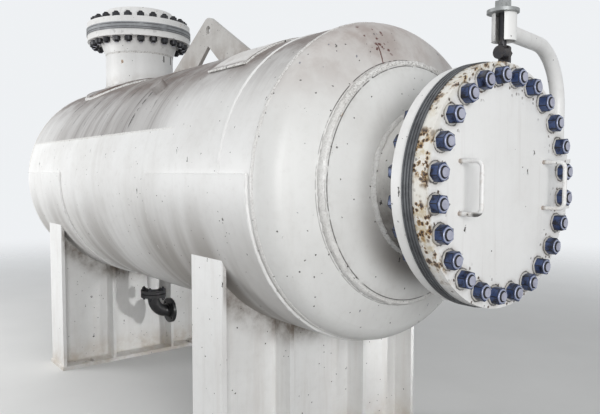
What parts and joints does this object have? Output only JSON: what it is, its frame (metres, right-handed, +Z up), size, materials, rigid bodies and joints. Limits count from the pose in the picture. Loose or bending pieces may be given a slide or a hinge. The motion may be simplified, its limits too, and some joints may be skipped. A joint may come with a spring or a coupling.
{
  "type": "three-phase separator",
  "caption": "Horizontal pressure vessel on two saddles with a bolted blind cover, a swing davit, a large top nozzle and a bottom drain, used to part oil, water and gas",
  "frame": {"origin": "on the floor under the middle of the front saddle's base plate", "axes": "X runs level along the vessel towards the bolted cover, Y is level across it towards the davit's side, Z is up"},
  "size_m": [4.0838, 1.446, 2.68],
  "materials": {
    "vessel_paint": "off-white paint, weathered",
    "black_paint": "black paint",
    "band_steel": "dull grey ribbed strip",
    "gasket": "spiral-wound metal",
    "black_steel": "blackened steel",
    "disc_steel": "worn plated steel"
  },
  "bodies": {
    "root": {"closure_band": "band_steel", "closure_gasket": "gasket", "closure_neck": "vessel_paint", "closure_pad": "vessel_paint", "cover": "vessel_paint", "cover_handles": "vessel_paint", "cover_lifting_lug": "black_steel", "davit_arm": "vessel_paint", "davit_brackets": "vessel_paint", "davit_hand_disc": "disc_steel", "davit_pin": "black_steel", "davit_screw": "black_steel", "davit_sleeve": "vessel_paint", "davit_socket": "vessel_paint", "drain_elbow": "black_paint", "drain_end_flange": "black_paint", "drain_flange": "black_paint", "drain_gasket": "gasket", "drain_mating_flange": "black_paint", "drain_neck": "vessel_paint", "front_head": "vessel_paint", "front_saddle_base": "vessel_paint", "front_saddle_ends": "vessel_paint", "front_saddle_ribs": "vessel_paint", "front_saddle_web": "vessel_paint", "front_shell_course": "vessel_paint", "front_wear_plate": "vessel_paint", "lifting_lug": "vessel_paint", "middle_shell_course": "vessel_paint", "neck_flange": "vessel_paint", "nozzle_band": "band_steel", "nozzle_flange": "vessel_paint", "nozzle_gasket": "gasket", "nozzle_mating_flange": "vessel_paint", "nozzle_neck": "vessel_paint", "nozzle_pad": "vessel_paint", "rear_head": "vessel_paint", "rear_saddle_base": "vessel_paint", "rear_saddle_ends": "vessel_paint", "rear_saddle_ribs": "vessel_paint", "rear_saddle_web": "vessel_paint", "rear_shell_course": "vessel_paint", "rear_wear_plate": "vessel_paint", "shell_boss": "vessel_paint", "top_doubler": "vessel_paint"}
  },
  "joints": []
}
